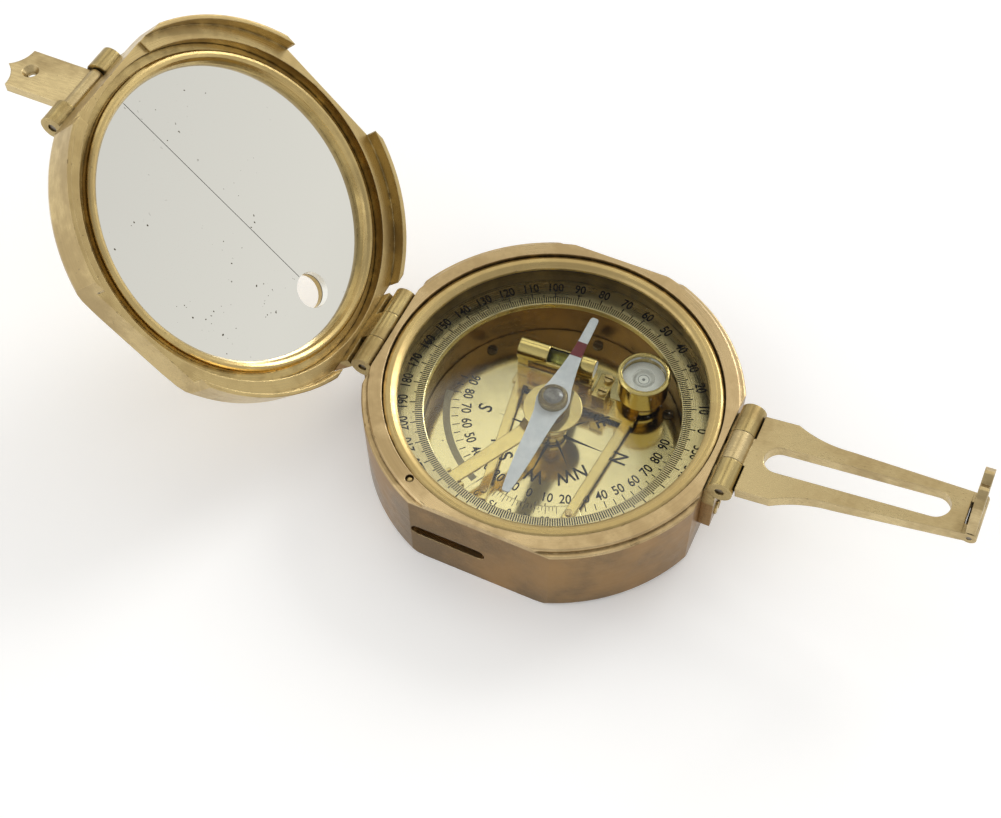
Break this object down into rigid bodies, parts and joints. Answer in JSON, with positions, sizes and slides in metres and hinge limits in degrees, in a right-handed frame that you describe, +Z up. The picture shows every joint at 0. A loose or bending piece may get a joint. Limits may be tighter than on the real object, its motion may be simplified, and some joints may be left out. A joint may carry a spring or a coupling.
{
  "type": "geology compass",
  "caption": "Brass pocket transit for geologists: round case with needle and clinometer under glass, hinged mirror lid and folding slotted sight arm.",
  "frame": {"origin": "centre of the case's flat back", "axes": "+Z up the case axis towards the glass, +X from the lid hinge to the sight arm hinge, +Y completes the right-handed frame"},
  "size_m": [0.2008, 0.0704, 0.0686],
  "materials": {
    "case_brass": "satin turned, lightly tarnished",
    "dial_face": "fine brushed, lacquered and printed black",
    "ring_brass": "fine brushed with black graduations",
    "bezel_brass": "polished, turned",
    "dark_brass": "dull, unpolished",
    "lid_brass": "satin turned, lightly tarnished",
    "hinge_brass": "satin, worn edges",
    "screw_brass": "polished",
    "sight_brass": "satin, worn edges",
    "inner_brass": "polished, lacquered",
    "steel": "plain",
    "pin_steel": "dark, oiled",
    "clear_glass": "clear flat glass",
    "vial_glass": "clear",
    "level_spirit": "clear spirit",
    "mirror_silver": "silvered glass",
    "seal_rubber": "matt black",
    "backing_card": "plain card",
    "white_plaster": "matt white",
    "needle_paint": "satin white paint with a dark red band",
    "jewel_stone": "polished agate"
  },
  "bodies": {
    "case": {"case_body": "case_brass", "dial_plate": "dial_face", "dial_screws": "dark_brass", "spacer_ring": "dark_brass", "glass_seal": "seal_rubber", "dial_glass": "clear_glass", "bezel_ring": "bezel_brass", "lid_hinge_leaf": "hinge_brass", "lid_hinge_pin": "pin_steel", "lid_leaf_screws": "screw_brass", "arm_hinge_leaf": "hinge_brass", "arm_hinge_pin": "pin_steel", "arm_leaf_screws": "screw_brass", "lifter_post": "inner_brass", "lifter_pin": "pin_steel"},
    "lid": {"lid_shell": "lid_brass", "lid_knuckle": "hinge_brass", "mirror_pad": "backing_card", "lid_mirror": "mirror_silver", "mirror_ring": "bezel_brass", "peep_bracket": "hinge_brass", "peep_pin": "pin_steel"},
    "peep": {"peep_sight": "sight_brass"},
    "arm": {"sight_arm": "sight_brass", "tip_pin": "pin_steel"},
    "tip": {"tip_sight": "sight_brass"},
    "clinometer": {"spindle": "inner_brass", "spring_washer": "steel", "clinometer_frame": "inner_brass", "vernier_plate": "dial_face", "vernier_screws": "screw_brass", "tube_level_case": "inner_brass", "tube_level_vial": "vial_glass", "tube_level_plugs": "white_plaster", "tube_level_cradle": "inner_brass", "bulls_eye_cup": "inner_brass", "bulls_eye_base": "white_plaster", "bulls_eye_fluid": "level_spirit", "bulls_eye_lens": "vial_glass", "bulls_eye_bracket": "inner_brass", "level_bracket": "inner_brass", "level_screws": "screw_brass", "clinometer_lever": "inner_brass", "lever_nut": "screw_brass", "pivot_point": "pin_steel"},
    "needle_set": {"needle": "needle_paint", "needle_cap": "inner_brass", "needle_jewel": "jewel_stone"},
    "azimuth": {"azimuth_ring": "ring_brass"},
    "lift_button": {"lift_pin": "screw_brass"},
    "lifter": {"lifter_lever": "inner_brass"}
  },
  "joints": [
    {"name": "lid_hinge", "type": "hinge", "parent": "case", "child": "lid", "pos_m": [-0.0377, 0, 0.0172], "axis": [0, 1, 0], "range_deg": [-46.3, 133.7]},
    {"name": "sight_arm_hinge", "type": "hinge", "parent": "case", "child": "arm", "pos_m": [0.0383, 0, 0.0209], "axis": [0, -1, 0], "range_deg": [-9, 171]},
    {"name": "tip_sight_fold", "type": "hinge", "parent": "arm", "child": "tip", "pos_m": [0.08299, 0, 0.02767], "axis": [0, 1, 0], "range_deg": [-4.6, 86.1]},
    {"name": "peep_sight_hinge", "type": "hinge", "parent": "lid", "child": "peep", "pos_m": [-0.09948, 0, 0.05941], "axis": [0, -1, 0], "range_deg": [-46.3, 133.7]},
    {"name": "clinometer_turn", "type": "hinge", "parent": "case", "child": "clinometer", "pos_m": [0, 0, 0], "axis": [0, 0, 1], "range_deg": [-90, 90]},
    {"name": "needle_swing", "type": "hinge", "parent": "case", "child": "needle_set", "pos_m": [0, 0, 0.0155], "axis": [0, 0, 1], "continuous": true},
    {"name": "azimuth_ring_turn", "type": "hinge", "parent": "case", "child": "azimuth", "pos_m": [0, 0, 0.0126], "axis": [0, 0, 1], "continuous": true},
    {"name": "lift_pin_press", "type": "slide", "parent": "case", "child": "lift_button", "axis": [0, 0, -1], "range_m": [0, 0.0003], "stiffness_N_per_m": 200, "springref_m": -0.0002},
    {"name": "lifter_rock", "type": "hinge", "parent": "case", "child": "lifter", "pos_m": [-0.01162, -0.02202, 0.0092], "axis": [0.8845, -0.4666, 0], "range_deg": [-0.1, 1.9]}
  ],
  "couplings": [
    {"joint": "tip_sight_fold", "follows": "sight_arm_hinge", "ratio": 0.50292},
    {"joint": "lifter_rock", "follows": "lift_pin_press", "rad_per_m": 99.645}
  ]
}
